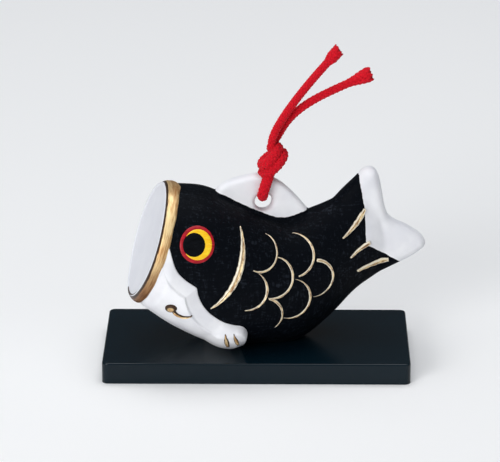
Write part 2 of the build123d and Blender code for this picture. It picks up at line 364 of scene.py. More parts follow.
def blade(name, outline, thickness, edge_radius, holes=(), step=0.7):
    """A flat plate in the carp's middle plane, with a rounded edge all round and round its holes.
    A hole is (centre, radius)."""
    rims = [divided(outline, step)]
    for centre, radius in holes:
        angle = full_turn(40)
        rims.append(np.array(centre) + radius * np.stack([np.cos(angle), np.sin(angle)], axis=1))
    low, high = outline.min(axis=0), outline.max(axis=0)
    across, up = np.meshgrid(np.arange(low[0], high[0], step), np.arange(low[1], high[1], step))
    fill = np.stack([across.ravel(), up.ravel()], axis=1)
    for rim in rims:
        normal = np.roll(rim, -1, axis=0) - np.roll(rim, 1, axis=0)
        normal = np.stack([-normal[:, 1], normal[:, 0]], axis=1)
        normal /= np.linalg.norm(normal, axis=1)[:, None]
        for share in (0.06, 0.22, 0.5):
            for way in (-1, 1):
                fill = np.vstack([fill, rim + way * share * edge_radius * normal])
    keep = inside(fill, rims[0])
    depth = edge_distance(fill, rims[0])
    for rim in rims[1:]:
        keep &= ~inside(fill, rim)
        depth = np.minimum(depth, edge_distance(fill, rim))
    fill = fill[keep & (depth > 0.05 * edge_radius)]
    edges, first = [], 0
    for rim in rims:
        edges += [(first + k, first + (k + 1) % len(rim)) for k in range(len(rim))]
        first += len(rim)
    flat = [Vector(p) for p in np.vstack([*rims, fill])]
    flat, edges, triangles = delaunay_2d_cdt(flat, edges, [], 0, 1e-6)[:3]
    flat = np.array([tuple(p) for p in flat])
    middles = np.array([flat[list(t)].mean(axis=0) for t in triangles])
    wanted = inside(middles, rims[0])
    for rim in rims[1:]:
        wanted &= ~inside(middles, rim)
    triangles = [t for t, w in zip(triangles, wanted) if w]
    depth = np.min([edge_distance(flat, rim) for rim in rims], axis=0)
    slope = np.clip(1 - depth / edge_radius, 0, 1)
    half = thickness / 2 - edge_radius + edge_radius * np.sqrt(1 - slope**2)
    points = np.vstack([place(flat[:, 0], flat[:, 1], half), place(flat[:, 0], flat[:, 1], -half)])
    return closed_object(name, points, shelled([tuple(t) for t in triangles], len(flat)))


# ---- nodes

class Paint:
    """A procedural material being made: a Principled shader and the nodes that feed it."""

    def __init__(self, name, **constants):
        self.material = bpy.data.materials.new(name)
        self.material.use_nodes = True
        self.nodes = self.material.node_tree.nodes
        self.links = self.material.node_tree.links
        self.shader = self.nodes["Principled BSDF"]
        for socket, value in constants.items():
            self.shader.inputs[socket.replace("_", " ")].default_value = value
        self.object_place = self.nodes.new("ShaderNodeTexCoord").outputs["Object"]

    def set(self, socket, value):
        """Links an output to a socket, or gives the socket a value."""
        if isinstance(value, bpy.types.NodeSocket):
            self.links.new(value, socket)
        elif isinstance(value, (tuple, list)) and socket.type == "RGBA":
            socket.default_value = (*value, 1) if len(value) == 3 else value
        else:
            socket.default_value = value

    def node(self, kind, inputs, output, **settings):
        """An output of a new node that has the given settings and inputs."""
        node = self.nodes.new("ShaderNode" + kind)
        for name, value in settings.items():
            setattr(node, name, value)
        for socket, value in inputs.items():
            self.set(node.inputs[socket], value)
        return node.outputs[output]

    def mapped(self, scale, angle=(0, 0, 0), source=None):
        inputs = {"Vector": source or self.object_place, "Rotation": angle, "Scale": scale}
        return self.node("Mapping", inputs, "Vector")

    def noise(self, scale, detail=3.0, source=None, roughness=0.5, distortion=0.0):
        inputs = {"Vector": source or self.object_place, "Scale": scale, "Detail": detail,
                  "Roughness": roughness, "Distortion": distortion}
        return self.node("TexNoise", inputs, "Fac")

    def attribute(self, name, output="Fac"):
        return self.node("Attribute", {}, output, attribute_name=name)

    def part(self, vector, axis):
        return self.node("SeparateXYZ", {0: vector}, axis)

    def between(self, value, low, high, out_low=0.0, out_high=1.0, smooth=False):
        """The value's range from low to high, spread over another range."""
        inputs = {"Value": value, "From Min": low, "From Max": high, "To Min": out_low, "To Max": out_high}
        kind = "SMOOTHSTEP" if smooth else "LINEAR"
        return self.node("MapRange", inputs, "Result", interpolation_type=kind)

    def math(self, operation, a, b):
        return self.node("Math", {0: a, 1: b}, 0, operation=operation)

    def mix(self, share, a, b):
        return self.node("Mix", {0: share, 6: a, 7: b}, 2, data_type="RGBA")

    def bump(self, height, distance, strength):
        return self.node("Bump", {"Height": height, "Distance": distance, "Strength": strength}, "Normal")

    def finish(self, colour=None, roughness=None, normal=None):
        for name, value in (("Base Color", colour), ("Roughness", roughness), ("Normal", normal)):
            if value is not None:
                self.set(self.shader.inputs[name], value)
        return self.material


BLACK_DEEP = (0.0012, 0.0022, 0.0042)
BLACK_WORN = (0.0125, 0.016, 0.023)
WHITE_CLEAN = (0.90, 0.905, 0.93)
WHITE_DULL = (0.80, 0.805, 0.845)
CLAY = (0.55, 0.36, 0.25)
# The pale gold is a painted highlight.
GOLD_PAINTED_HIGHLIGHT = (1.0, 0.93, 0.76)
GOLD_LIGHT = (1.0, 0.80, 0.46)
GOLD_DEEP = (0.55, 0.30, 0.11)
BAND_LIGHT = (0.98, 0.75, 0.39)
BAND_DEEP = (0.52, 0.26, 0.085)
GOLD_BROWN = (0.30, 0.14, 0.05)
# The umber is painted shade for the band's lower part.
GOLD_UMBER_PAINTED_SHADE = (0.14, 0.055, 0.018)
# The edge colour is a brown paint edge and painted shade along the gold's edges.
GOLD_EDGE_AND_PAINTED_SHADE = (0.045, 0.018, 0.006)


def white_work(paint, dull, clean):
    """The colour, roughness and bump height of brushed white slip."""
    cloud = paint.between(paint.noise(90, 3), 0.3, 0.7, smooth=True)
    colour = paint.mix(cloud, dull, clean)
    rough = paint.between(paint.noise(700, 2), 0.3, 0.7, 0.62, 0.78)
    grain = paint.noise(1500, 4, roughness=0.6)
    swell = paint.noise(160, 2)
    height = paint.math("ADD", paint.math("MULTIPLY", grain, 0.25), swell)
    return colour, rough, height


def black_work(paint):
    """The same for matt black, laid on with a brush that leaves fine crossing strokes."""
    first = paint.noise(460, 3, paint.mapped((0.25, 1.7, 1.7), (0.2, 0.5, 0.4)), 0.6, 1.2)
    second = paint.noise(520, 3, paint.mapped((1.8, 1.6, 0.3), (0.1, -0.9, 0.2)), 0.6, 1.0)
    strokes = paint.math("MULTIPLY", paint.math("ADD", first, second), 0.5)
    worn = paint.between(strokes, 0.52, 0.66, smooth=True)
    colour = paint.mix(worn, BLACK_DEEP, BLACK_WORN)
    rough = paint.between(strokes, 0.35, 0.65, 0.68, 0.50)
    return colour, rough, strokes


def body_paint():
    """Black with white fin, tail and mouth rim, and bare clay inside. The masks are signed
    distances in millimetres."""
    paint = Paint("body_slip", IOR=1.14)
    black, black_rough, strokes = black_work(paint)
    white, white_rough, grain = white_work(paint, WHITE_DULL, WHITE_CLEAN)
    wobble = paint.between(paint.noise(600, 2), 0.3, 0.7, -0.12, 0.12)
    edge = paint.math("ADD", paint.attribute("white"), wobble)
    share = paint.between(edge, -0.08, 0.08, smooth=True)
    bare = paint.between(paint.attribute("bare"), 0.3, 0.7)
    colour = paint.mix(share, black, white)
    clay = paint.mix(paint.noise(260, 4), CLAY, tuple(0.7 * c for c in CLAY))
    colour = paint.mix(bare, colour, clay)
    rough = paint.mix(share, black_rough, white_rough)
    height = paint.mix(share, strokes, grain)
    return paint.finish(colour, rough, paint.bump(height, 0.00022, 0.55))


def white_paint(name, dull, clean):
    paint = Paint(name, IOR=1.4)
    colour, rough, height = white_work(paint, dull, clean)
    return paint.finish(colour, rough, paint.bump(height, 0.0002, 0.5))


def gold_paint(name, light, deep, edge, crest=None, heights=None, grain=(0.5, 4.2)):
    """Brushed gold. The stroke attribute holds (along, across, how far across from -1 to 1). edge
    is where across the dark rim of paint edge and painted shade begins and ends, crest where a
    pale ridge of painted highlight does, and heights those over which the gold clears from painted
    brown shade, going up, and then browns again. grain is how fine the streaks are along and across."""
    paint = Paint(name, Metallic=0.35, IOR=1.45)
    stroke = paint.attribute("stroke", "Vector")
    fine = paint.noise(1.0, 4, paint.mapped((*grain, 0.0), source=stroke), 0.65, 0.3)
    patches = paint.noise(1.0, 3, paint.mapped((grain[0] / 2, grain[1] / 8, 0.0), source=stroke))
    mixed = paint.math("ADD", paint.math("MULTIPLY", fine, 0.55), paint.math("MULTIPLY", patches, 0.45))
    share = paint.between(mixed, 0.38, 0.60, smooth=True)
    colour = paint.mix(share, deep, light)
    # Painted shade: the gold is browner towards the band's bottom, which faces down, and browns again near
    # its top.
    if heights is not None:
        up = paint.part(paint.object_place, "Z")
        clear = paint.math("MULTIPLY", paint.between(up, *heights[:2], smooth=True),
                           paint.between(up, *heights[2:], 1.0, 0.3, smooth=True))
        colour = paint.mix(clear, paint.mix(share, GOLD_UMBER_PAINTED_SHADE, GOLD_BROWN), colour)
    frayed = paint.math("MULTIPLY", paint.math("SUBTRACT", fine, 0.5), 0.35)
    level = paint.math("ADD", paint.part(stroke, "Z"), frayed)
    side = paint.math("ABSOLUTE", level, 0.0)
    # Painted highlight: a pale ridge along the stroke's crest.
    if crest is not None:
        ridge = paint.between(side, *crest, smooth=True)
        colour = paint.mix(paint.math("MULTIPLY", ridge, 0.85), colour, GOLD_PAINTED_HIGHLIGHT)
    # The dark rim is a brown paint edge and painted shade along the edges.
    rim = paint.between(level if edge[0] < 0 else side, *edge, smooth=True)
    colour = paint.mix(rim, colour, GOLD_EDGE_AND_PAINTED_SHADE)
    rough = paint.between(fine, 0.3, 0.7, 0.5, 0.34)
    return paint.finish(colour, rough, paint.bump(fine, 0.00025, 0.7))


def matt_paint(name, colour, darker, roughness=0.5, ior=1.35):
    paint = Paint(name, IOR=ior)
    strokes = paint.noise(600, 4, paint.mapped((0.5, 1, 1.8), (0, 0.6, 0)), 0.6)
    shade = paint.mix(paint.between(strokes, 0.35, 0.65), darker, colour)
    rough = paint.between(strokes, 0.3, 0.7, roughness + 0.08, roughness - 0.08)
    return paint.finish(shade, rough, paint.bump(strokes, 0.00012, 0.4))


def lacquer():
    paint = Paint("black_lacquer", IOR=1.32)
    peel = paint.noise(420, 3)
    dust = paint.between(paint.noise(5200, 2, roughness=0.7), 0.62, 0.74, smooth=True)
    cloud = paint.noise(26, 3)
    colour = paint.mix(cloud, (0.0008, 0.0062, 0.0110), (0.0018, 0.0102, 0.0170))
    colour = paint.mix(paint.math("MULTIPLY", dust, 0.15), colour, (0.030, 0.04, 0.048))
    rough = paint.between(cloud, 0.3, 0.7, 0.18, 0.25)
    return paint.finish(colour, rough, paint.bump(peel, 0.00006, 0.35))


def clay_material():
    paint = Paint("bare_clay", IOR=1.45)
    grain = paint.noise(1400, 4)
    colour = paint.mix(paint.noise(220, 4), CLAY, tuple(0.68 * c for c in CLAY))
    return paint.finish(colour, paint.between(grain, 0.3, 0.7, 0.8, 0.92), paint.bump(grain, 0.0003, 0.6))


def cord_paint():
    """Red yarn: fibres run along each strand, and painted shade darkens the hollows between strands."""
    paint = Paint("red_cord", IOR=1.25, Sheen_Weight=0.08, Sheen_Roughness=0.4)
    yarn = paint.attribute("stroke", "Vector")
    fibres = paint.noise(1.0, 3, paint.mapped((1.2, 9.0, 0.0), source=yarn), 0.7)
    # Painted shade: the stroke attribute's Z darkens the hollows, each strand's inward side and where it
    # dips under.
    deep = paint.between(paint.part(yarn, "Z"), 0.2, 0.9, smooth=True)
    colour = paint.mix(paint.between(fibres, 0.3, 0.7), (0.44, 0.002, 0.010), (0.84, 0.006, 0.022))
    colour = paint.mix(deep, (0.10, 0.001, 0.003), colour)
    rough = paint.between(fibres, 0.3, 0.7, 0.62, 0.78)
    return paint.finish(colour, rough, paint.bump(fibres, 0.0002, 0.8))


def floor_paint():
    paint = Paint("floor", Roughness=0.9)
    paint.shader.inputs["Specular IOR Level"].default_value = 0.0
    return paint.finish(paint.mix(paint.noise(3, 2), (0.955, 0.955, 0.955), (0.97, 0.97, 0.97)))


# ---- camera, light and floor

CAMERA_ELEVATION = math.radians(19.45)
CAMERA_AZIMUTH = math.radians(0.58)
CAMERA_DISTANCE = 1.2
CAMERA_LENS = 217.7
CAMERA_ACROSS = -0.0027  # the board's top centre is this far from the middle of the view
CAMERA_RISE = 0.0416


def add_camera():
    turn = Euler((math.pi / 2 - CAMERA_ELEVATION, 0, CAMERA_AZIMUTH)).to_matrix()
    right, up, back = turn.col
    camera = bpy.data.objects.new("camera", bpy.data.cameras.new("camera"))
    camera.data.lens = CAMERA_LENS
    camera.data.clip_start = 0.05
    camera.data.clip_end = 20
    centre = Vector((0, 0, BOARD_TOP)) + CAMERA_ACROSS * right + CAMERA_RISE * up
    camera.matrix_world = Matrix.Translation(centre + CAMERA_DISTANCE * back) @ turn.to_4x4()
    bpy.context.scene.collection.objects.link(camera)
    bpy.context.scene.camera = camera


def add_light(name, where, size, power):
    """A soft square light aimed at the middle of the object."""
    lamp = bpy.data.lights.new(name, "AREA")
    lamp.size = size
    lamp.energy = power
    obj = bpy.data.objects.new(name, lamp)
    obj.location = where
    aim = Vector((0, 0, 0.04)) - Vector(where)
    obj.rotation_mode = "QUATERNION"
    obj.rotation_quaternion = aim.to_track_quat("-Z", "Y")
    bpy.context.scene.collection.objects.link(obj)


def add_world():
    """A dim studio that is brighter overhead."""
    world = bpy.data.worlds.new("studio")
    world.use_nodes = True
    nodes, links = world.node_tree.nodes, world.node_tree.links
    split = nodes.new("ShaderNodeSeparateXYZ")
    links.new(nodes.new("ShaderNodeTexCoord").outputs["Generated"], split.inputs[0])
    rise = nodes.new("ShaderNodeMapRange")
    rise.interpolation_type = "SMOOTHSTEP"
    for socket, number in zip(("From Min", "From Max", "To Min", "To Max"), (0.70, 0.95, 0.09, 1.5)):
        rise.inputs[socket].default_value = number
    links.new(split.outputs["Z"], rise.inputs["Value"])
    background = nodes["Background"]
    background.inputs["Color"].default_value = (0.93, 0.96, 1.0, 1)
    links.new(rise.outputs["Result"], background.inputs["Strength"])
    bpy.context.scene.world = world


def add_floor():
    steps = 12
    across = np.linspace(-4, 4, steps + 1)
    x, y = np.meshgrid(across, across, indexing="ij")
    points = np.stack([x.ravel(), y.ravel(), 0 * x.ravel()], axis=1)
    floor = new_object("floor", points, grid_faces(steps + 1, steps + 1))
    dress(floor, floor_paint())


bpy.context.scene.view_settings.view_transform = "Standard"
add_camera()
add_world()
add_light("key", (-0.71, -1.08, 0.39), 0.6, 10.2)
add_light("fill", (0.9, -0.8, 0.5), 0.9, 1.0)
add_light("top", (0.0, 0.25, 1.3), 0.9, 4.5)
add_floor()


# ---- cord
# Both cords start in the fin's hole. One runs up the near face and straight through the knot,
# and the other runs up the far face and is wound round the first. Each point is along the carp,
# above the board, and towards the near side.

CORD_EXIT = (2.5, 58.3, 0.0)
UPPER_ROUTE = [
    (2.5, 58.3, 0.0), (1.2, 59.8, 5.4), (3.2, 66.3, 5.3), (5.2, 70.0, 2.2), (6.2, 73.5, 1.2),
    (5.4, 78.0, 1.4), (5.8, 83.0, 1.4), (9.5, 90.0, 1.3), (16.2, 99.2, 0.9), (24.2, 108.6, 0.4),
    (31.7, 116.6, -0.2),
]
LOWER_ROUTE = [
    (2.5, 58.3, 0.0), (2.5, 59.0, -5.6), (3.4, 65.2, -5.6), (2.6, 67.6, -2.6), (2.6, 68.4, 1.8),
    (3.9, 69.4, 4.7), (7.6, 72.9, 5.2), (10.2, 75.8, 2.6), (9.8, 75.8, -2.0), (5.8, 74.0, -3.9),
    (2.4, 71.6, -2.2), (2.1, 71.6, 1.8), (3.2, 73.4, 5.0), (6.0, 76.2, 4.8), (8.2, 78.4, 2.0),
    (7.8, 78.0, -1.8), (5.6, 76.6, -3.0), (5.6, 77.6, -2.2), (8.0, 81.8, -1.7), (12.3, 89.2, -1.6),
    (20.0, 95.6, -1.4), (32.0, 101.5, -1.0), (44.0, 106.5, -0.5),
]


def nurbs_line(name, route):
    """The points of a smooth curve whose control points are the route, in metres."""
    curve = bpy.data.curves.new(name, "CURVE")
    curve.dimensions = "3D"
    curve.resolution_u = 16
    spline = curve.splines.new("NURBS")
    spline.points.add(len(route) - 1)
    for point, where in zip(spline.points, route):
        point.co = (*place(where[0], where[1], where[2]), 1)
    spline.order_u = 3
    spline.use_endpoint_u = True
    holder = bpy.data.objects.new(name, curve)
    mesh = bpy.data.meshes.new_from_object(holder)
    line = coordinates(mesh)
    bpy.data.objects.remove(holder)
    bpy.data.curves.remove(curve)
    bpy.data.meshes.remove(mesh)
    return line


def even(line, step):
    """The line with its points an even step apart."""
    run = np.concatenate([[0], np.cumsum(np.linalg.norm(np.diff(line, axis=0), axis=1))])
    at = np.linspace(0, run[-1], math.ceil(run[-1] / step) + 1)
    return np.stack([np.interp(at, run, line[:, k]) for k in range(3)], axis=1), at


def frames_along(line):
    """Two unit vectors across the line at each point, that turn as little as they can."""
    ahead = np.gradient(line, axis=0)
    ahead /= np.linalg.norm(ahead, axis=1)[:, None]
    first = np.zeros_like(line)
    first[0] = np.cross(ahead[0], UP)
    first[0] /= np.linalg.norm(first[0])
    for i in range(1, len(line)):
        side = first[i - 1] - ahead[i] * (first[i - 1] @ ahead[i])
        first[i] = side / np.linalg.norm(side)
    return ahead, first, np.cross(ahead, first)


STRANDS_EACH_WAY = 6
BRAID_TURN = 0.56  # radians of turn for each millimetre along
BRAID_RADIUS = 1.06  # of the strands' middle lines
BRAID_WAVE = 0.29
STRAND_HALF_WIDTH = 0.60
STRAND_HALF_DEPTH = 0.38
CORE_RADIUS = 1.0
STRAND_SIDES = 8
KNOT_SPREAD = 0.36
LINE_STEP = 0.32
CUT_SHOWS = 0.2  # the cut end's colour, nearly clear of the painted shade, reaches this far back, in millimetres


def braided_cord(name, route, flare_length, onset, flare_to, cut_slant, knotted):
    """A round braid along the route. Its cut end widens over the given onset to a flare, and is cut
    at a slant. It is squashed wider over the knotted stretch, given in millimetres along."""
    line, at = even(nurbs_line(name, route), LINE_STEP * MM)
    ahead, first, second = frames_along(line)
    at = at / MM
    left = at[-1] - at
    flare = 1 + (flare_to - 1) * eased((flare_length - left) / onset)
    flare += KNOT_SPREAD * eased((at - knotted[0]) / 3) * eased((knotted[1] - at) / 3)
    points, faces, stroke = [], [], []
    around = full_turn(STRAND_SIDES)

    def add_tube(middle, out, across, half_width, half_depth, hollow_shade_level):
        base = sum(len(p) for p in points)
        rings = (middle[:, None, :]
                 + (half_depth[:, None] * np.cos(around))[..., None] * out[:, None, :]
                 + (half_width[:, None] * np.sin(around))[..., None] * across[:, None, :])
        # Painted shade level: lower on each strand's inward side, where it dips under, and in the core.
        level = hollow_shade_level[:, None] + 0.35 * np.cos(around)[None, :]
        level = np.where((left < CUT_SHOWS)[:, None], 0.8, level)
        points.append(rings.reshape(-1, 3))
        stroke.append(np.stack([np.repeat(at, STRAND_SIDES), np.tile(around, len(at)) / 6.3,
                                np.clip(level, 0, 1).ravel()], axis=1))
        faces.extend(grid_faces(len(middle), STRAND_SIDES, closed_columns=True, first=base))
        faces.append(tuple(range(base, base + STRAND_SIDES)))
        last = base + (len(middle) - 1) * STRAND_SIDES
        faces.append(tuple(range(last + STRAND_SIDES - 1, last - 1, -1)))

    for way in (1, -1):
        for k in range(STRANDS_EACH_WAY):
            angle = 2 * math.pi * k / STRANDS_EACH_WAY + way * BRAID_TURN * at
            wave = way * np.cos(STRANDS_EACH_WAY * BRAID_TURN * at)
            out = np.cos(angle)[:, None] * first + np.sin(angle)[:, None] * second
            radius = (BRAID_RADIUS + BRAID_WAVE * wave) * flare
            slip = cut_slant * np.clip(1 - left / flare_length, 0, 1) * np.cos(angle)
            middle = line + radius[:, None] * MM * out + (slip * MM)[:, None] * ahead
            run = np.gradient(middle, axis=0)
            run /= np.linalg.norm(run, axis=1)[:, None]
            across = np.cross(run, out)
            across /= np.linalg.norm(across, axis=1)[:, None]
            add_tube(middle, out, across, STRAND_HALF_WIDTH * flare * MM,
                     STRAND_HALF_DEPTH * (0.6 + 0.4 * flare) * MM, 0.5 + 0.4 * wave)
    core = CORE_RADIUS * flare * MM
    add_tube(line, first, second, core, core, np.zeros(len(at)))
    cord = new_object(name, np.vstack(points), faces)
    add_values(cord, "stroke", np.vstack(stroke))
    return cord, line


cord_upper, upper_line = braided_cord("cord_upper", UPPER_ROUTE, 7.0, 3.5, 1.55, 0.5, (1, 20))
cord_lower, lower_line = braided_cord("cord_lower", LOWER_ROUTE, 10.0, 10.0, 1.95, 0.3, (12, 66))
red = cord_paint()
shown(cord_upper, red, "cord", "red_cord", "cord_tail_upper", "cord_loop", "cord_knot")
shown(cord_lower, red, "cord", "red_cord", "cord_tail_lower")
exit_point = tuple(place(*CORD_EXIT))

# ---- bell body

outside_loft = loft_object("outside", np.linspace(0, 9, 91))
fin_outline = np.vstack([evenly_through(FIN_EDGE, 61), FIN_ROOT])
fin = blade("fin", fin_outline, FIN_THICKNESS, FIN_EDGE_RADIUS, [(FIN_HOLE_CENTRE, FIN_HOLE_RADIUS)])
tail_outline = np.vstack([evenly_through(TAIL_EDGE, 150), TAIL_ROOT])
tail = blade("tail", tail_outline, TAIL_THICKNESS, TAIL_EDGE_RADIUS)


def tree_of(obj):
    return BVHTree.FromPolygons([v.co for v in obj.data.vertices],
                                [tuple(p.vertices) for p in obj.data.polygons])


loft_tree, fin_tree, tail_tree = tree_of(outside_loft), tree_of(fin), tree_of(tail)


def smoothed(points, edges, share, rounds):
    """Each point moved towards the middle of its neighbours, by its own share, again and again."""
    ends = np.concatenate([edges[:, 0], edges[:, 1]])
    others = np.concatenate([edges[:, 1], edges[:, 0]])
    count = np.bincount(ends, minlength=len(points))[:, None]
    for _ in range(rounds):
        total = np.stack([np.bincount(ends, points[others, k], len(points)) for k in range(3)], axis=1)
        points = points + share[:, None] * (total / count - points)
    return points


def make_body():
    body = joined("bell_body", outside_loft, fin, tail)
    remesh = body.modifiers.new("remesh", "REMESH")
    remesh.mode = "VOXEL"
    remesh.voxel_size = VOXEL * MM
    remesh.adaptivity = 0
    settle(body)
    points = coordinates(body.data)
    edges = np.array([tuple(e.vertices) for e in body.data.edges])
    points = smoothed(points, edges, np.full(len(points), 0.5), 3)
    near_all = np.array([(loft_tree.find_nearest(p)[3],
                          min(fin_tree.find_nearest(p)[3], tail_tree.find_nearest(p)[3]))
                         for p in points]) / MM
    zone = np.clip(1 - near_all.max(axis=1) / JOIN_REACH, 0, 1)
    points = smoothed(points, edges, 0.6 * zone, JOIN_ROUNDS)
    points[:, 2] = np.maximum(points[:, 2], BOARD_TOP + FOOT_GAP * MM)
    body.data.vertices.foreach_set("co", points.ravel())
    body.data.update()
    carve(body, loft_object("hollow", np.linspace(0, HOLLOW_END, 61), -WALL, ahead=6.0, around=96))
    carve(body, mouth_block())
    carve(body, slot_block())
    body.data.shade_smooth()
    return body


JOIN_REACH = 2.2
JOIN_ROUNDS = 14
FOOT_GAP = 0.05


def mouth_block():
    """Everything ahead of the back of the mouth face."""
    ahead = np.repeat([-MOUTH_THICKNESS, 12.0 - MOUTH_THICKNESS], 4)
    up, side = 40.0 * np.array([(-1, -1), (-1, 1), (1, 1), (1, -1)] * 2).T
    return prism("mouth_block", on_mouth(up, ahead, side))


def slot_block():
    """The sound slot through the underside."""
    half, radius = SLOT_LENGTH / 2 - SLOT_WIDTH / 2, SLOT_WIDTH / 2
    angle = np.linspace(-math.pi / 2, math.pi / 2, 13)
    s = np.concatenate([half + radius * np.cos(angle), -half - radius * np.cos(angle)]) + SLOT_CENTRE
    side = np.concatenate([radius * np.sin(angle), -radius * np.sin(angle)])
    return prism("slot_block", np.vstack([place(s, -6.0, side), place(s, 8.0, side)]))


BARE_DEPTH = 2.6  # the paint stops this far in from the outside
BARE_HALF_WIDTH = 24  # and the bare hollow lies this near the middle plane
BARE_END = 30  # and ahead of this place along the carp
FIN_WHITE_REACH = 7  # the fin's white stays this near the middle plane
# The paint's borders, as closed outlines in the middle plane, each holding its white part.
FIN_WHITE = [
    (-17.6, 75.0), (-17.5, 62.2), (-15.5, 61.5), (-12.5, 60.3), (-8.3, 57.9), (-4.1, 55.7), (0.3, 53.4),
    (4.5, 51.7), (7.3, 50.8), (10.0, 50.5), (12.1, 50.7), (14.2, 51.3), (17.2, 52.4), (19.0, 52.9),
    (20.3, 53.8), (21.5, 56.5), (24.0, 75.0),
]
TAIL_WHITE = [
    (40.2, 80.0), (40.0, 66.0), (39.9, 64.2), (40.7, 59.7), (41.4, 55.3), (41.8, 47.8), (41.9, 39.7),
    (44.5, 38.3), (47.1, 36.5), (51.7, 33.4), (56.3, 30.4), (60.0, 26.0), (80.0, 20.0), (80.0, 80.0),
]


def paint_masks(body):
    """White is how far a point is inside a white area, and bare is 1 within the hollow."""
    points = coordinates(body.data)
    s, z, side = carp_places(points)
    flat = np.stack([s, z], axis=1)
    fin_side = np.where(np.abs(side) < FIN_WHITE_REACH, 1, -1) * 9.0
    fin_mask = np.minimum(signed_distance(flat, FIN_WHITE), fin_side)
    white = np.maximum(fin_mask, signed_distance(flat, TAIL_WHITE))
    add_values(body, "white", white)
    deep = np.array([loft_tree.find_nearest(p)[3] for p in points]) / MM > BARE_DEPTH
    add_values(body, "bare", deep & (np.abs(side) < BARE_HALF_WIDTH) & (s < BARE_END) & (white < 0))


body = make_body()
paint_masks(body)
shown(body, body_paint(), "bell", "black_slip", "bell_shell")
body_tree = tree_of(body)

# ---- mouth

white_slip = white_paint("white_slip", WHITE_DULL, WHITE_CLEAN)
# The mouth face's white is the same slip painted darker, as painted shade.
mouth_white_painted_shade = white_paint("mouth_white_painted_shade", (0.725, 0.735, 0.785), (0.755, 0.765, 0.81))
RIM_WIDTH = 0.8
RIM_ROUND = 0.6
MOUTH_RECESS = 0.45
MOUTH_DISH = 1.3


def mouth_face():
    """A dished face with a rounded rim, as thick as the shell is cut back."""
    around = 160
    turn = full_turn(around)
    top_s, top_z, low_s, low_z, half, _ = SECTIONS[0]
    tall = math.hypot(top_s - low_s, top_z - low_z) / 2
    profile = [(-2.0, MOUTH_THICKNESS), (0.0, MOUTH_THICKNESS), (0.0, RIM_ROUND)]
    for k in range(1, 6):
        angle = k / 5 * math.pi / 2
        profile.append((-RIM_ROUND * (1 - math.cos(angle)), RIM_ROUND * (1 - math.sin(angle))))
    for k in range(1, 9):
        profile.append((-RIM_ROUND - RIM_WIDTH * k / 8, MOUTH_RECESS * eased(k / 8)))
    rows = [((tall + inward) / tall, half + inward, depth) for inward, depth in profile]
    inner_up, inner_out, inner_depth = rows[-1]
    for k in range(1, 25):
        share = 1 - k / 25
        rows.append((inner_up * share, inner_out * share, inner_depth + MOUTH_DISH * (1 - share**2)))
    points = []
    ahead = rim_ahead(turn)
    for scale_up, scale_out, depth in rows:
        lift = ahead.mean() + (ahead - ahead.mean()) * scale_up - depth
        points.append(on_mouth(np.cos(turn) * scale_up * tall, lift, np.sin(turn) * scale_out))
    faces = grid_faces(len(rows), around, closed_columns=True)
    faces.append(tuple(range((len(rows) - 1) * around, len(rows) * around)))
    faces.append(tuple(range(around - 1, -1, -1)))
    dish = closed_object("mouth_dish", np.vstack(points), faces)
    shown(dish, mouth_white_painted_shade, "bell", "white_slip", "mouth_face")


mouth_face()

BAND_WIDTHS = [6.3, 5.7, 5.3, 5.1, 4.9, 4.2, 3.3, 2.6, 2.2]  # from the top round to the bottom
BAND_HEIGHT = 0.8
BAND_LOW_HEIGHT = 0.45  # more than that where the band runs beside the jaw
BAND_SET_BACK = 0.9  # the band starts this far behind the rim on the far side
BAND_THICKNESS = 0.4
STREAK_RUN = 75  # the length of streaked gold from the band's top to its bottom
MM_PER_SECTION = 5.9  # from the mouth's section to the next


def band_width(fold):
    """How far behind the mouth's plane the band reaches, from the top, 0, to the bottom, 1."""
    return through(BAND_WIDTHS, np.ravel(fold) * (len(BAND_WIDTHS) - 1))[:, 0].reshape(np.shape(fold))


def mouth_band():
    around, across = 220, 12
    turn = full_turn(around)
    fold = np.minimum(turn, 2 * math.pi - turn) / math.pi
    widths = band_width(fold)
    v = np.linspace(0, 1, across + 1)
    wobble = 0.08 * np.sin(9 * turn + 1.3) + 0.06 * np.sin(17 * turn)
    back = BAND_SET_BACK * eased(np.clip(-np.sin(turn), 0, 1) * 2)
    ahead = rim_ahead(turn) - back
    u = (np.outer(widths + wobble + ahead, v) - ahead[:, None] + 0.15) / MM_PER_SECTION
    dome = 1 - np.abs(2 * v - 1) ** 3.5
    grow = np.outer(BAND_HEIGHT + BAND_LOW_HEIGHT * eased((fold - 0.35) / 0.25), dome) + 0.02
    grow[:, 0], grow[:, -1] = -0.3, -0.3
    s, z, side = skin(u, turn[:, None] + 0 * u, grow)
    top = place(s, z, side).reshape(-1, 3)
    faces = grid_faces(around, across + 1, closed_rows=True)
    band = new_object("mouth_gold_band", top, faces)
    solid = band.modifiers.new("solid", "SOLIDIFY")
    solid.thickness = BAND_THICKNESS * MM
    solid.offset = -1
    run = np.repeat(fold * STREAK_RUN, across + 1)
    level = np.tile(2 * v - 1, around)
    add_values(band, "stroke", np.stack([run, level * 2.3, level], axis=1))
    settle(band)
    face_outwards(band)
    band.data.shade_smooth()
    shown(band, band_gold, "bell", "gold_paint", "mouth_band")


# The band's gold browns towards its bottom as painted shade.
band_gold = gold_paint("band_gold", BAND_LIGHT, BAND_DEEP, (-0.60, -0.74),
                       heights=(0.034, 0.060, 0.0700, 0.0755), grain=(0.14, 1.5))
line_gold = gold_paint("line_gold", GOLD_LIGHT, GOLD_BROWN, (0.80, 1.0), crest=(0.22, 0.55))
mark_gold = gold_paint("mark_gold", GOLD_LIGHT, GOLD_DEEP, (0.36, 0.64))
mouth_band()

# ---- jaw and pectoral fins

